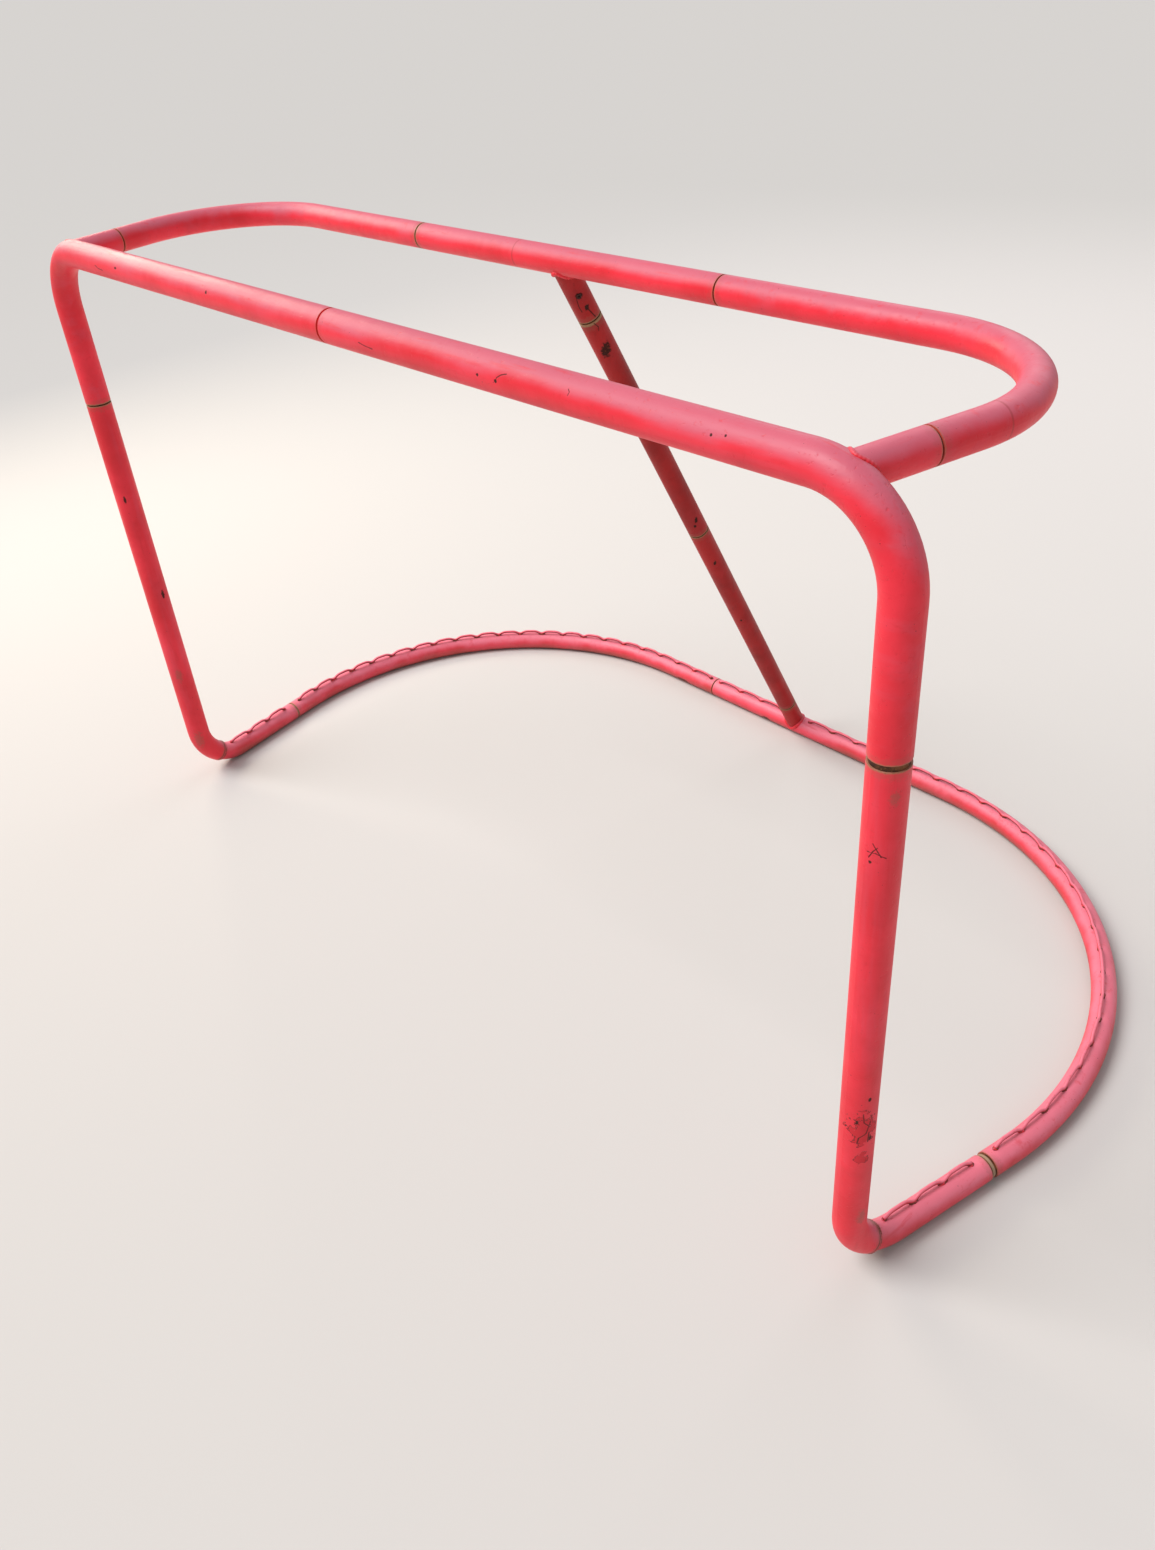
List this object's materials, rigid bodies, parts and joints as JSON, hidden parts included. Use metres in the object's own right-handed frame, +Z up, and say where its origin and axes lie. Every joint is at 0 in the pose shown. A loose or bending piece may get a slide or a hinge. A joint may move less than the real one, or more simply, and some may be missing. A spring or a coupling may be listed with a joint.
{
  "type": "hockey goal frame",
  "caption": "Knock-down goal frame of round steel tube: rounded mouth, D-shaped top shelf, ground loop with a scalloped net rod, and one raking rear stay.",
  "frame": {"origin": "on the ground, under the middle of the frame's bounding box", "axes": "+X along the goal line, +Y from the mouth to the back, +Z up"},
  "size_m": [2.0736, 1.0953, 1.22],
  "materials": {
    "paint": "hand-brushed satin red paint, faded, chipped and rust-stained at the joints",
    "bare_steel": "bare tube steel with brown surface rust",
    "lock_screw": "dark oxidised steel"
  },
  "bodies": {
    "root": {"crossbar_left": "paint", "crossbar_right": "paint", "crossbar_sleeve": "bare_steel", "post_left": "paint", "post_right": "paint", "post_sleeve_left": "bare_steel", "post_sleeve_right": "bare_steel", "foot_plate_left": "paint", "foot_plate_right": "paint", "top_stub_left": "paint", "top_stub_right": "paint", "top_corner_left": "paint", "top_corner_right": "paint", "top_rear": "paint", "top_side_sleeve_left": "bare_steel", "top_side_sleeve_right": "bare_steel", "top_rear_sleeve_left": "bare_steel", "top_rear_sleeve_right": "bare_steel", "base_front_left": "paint", "base_front_right": "paint", "base_side_left": "paint", "base_side_right": "paint", "base_rear": "paint", "base_side_sleeve_left": "bare_steel", "base_side_sleeve_right": "bare_steel", "base_rear_sleeve_left": "bare_steel", "base_rear_sleeve_right": "bare_steel", "stay_base_stub": "paint", "stay_lower_tube": "paint", "stay_upper_tube": "paint", "stay_top_stub": "paint", "stay_sleeve_low": "bare_steel", "stay_sleeve_mid": "bare_steel", "stay_sleeve_top": "bare_steel", "stay_lock_screw": "lock_screw", "lacing_front_left": "paint", "lacing_front_right": "paint", "lacing_side_left": "paint", "lacing_side_right": "paint", "lacing_rear_left": "paint", "lacing_rear_right": "paint"}
  },
  "joints": []
}
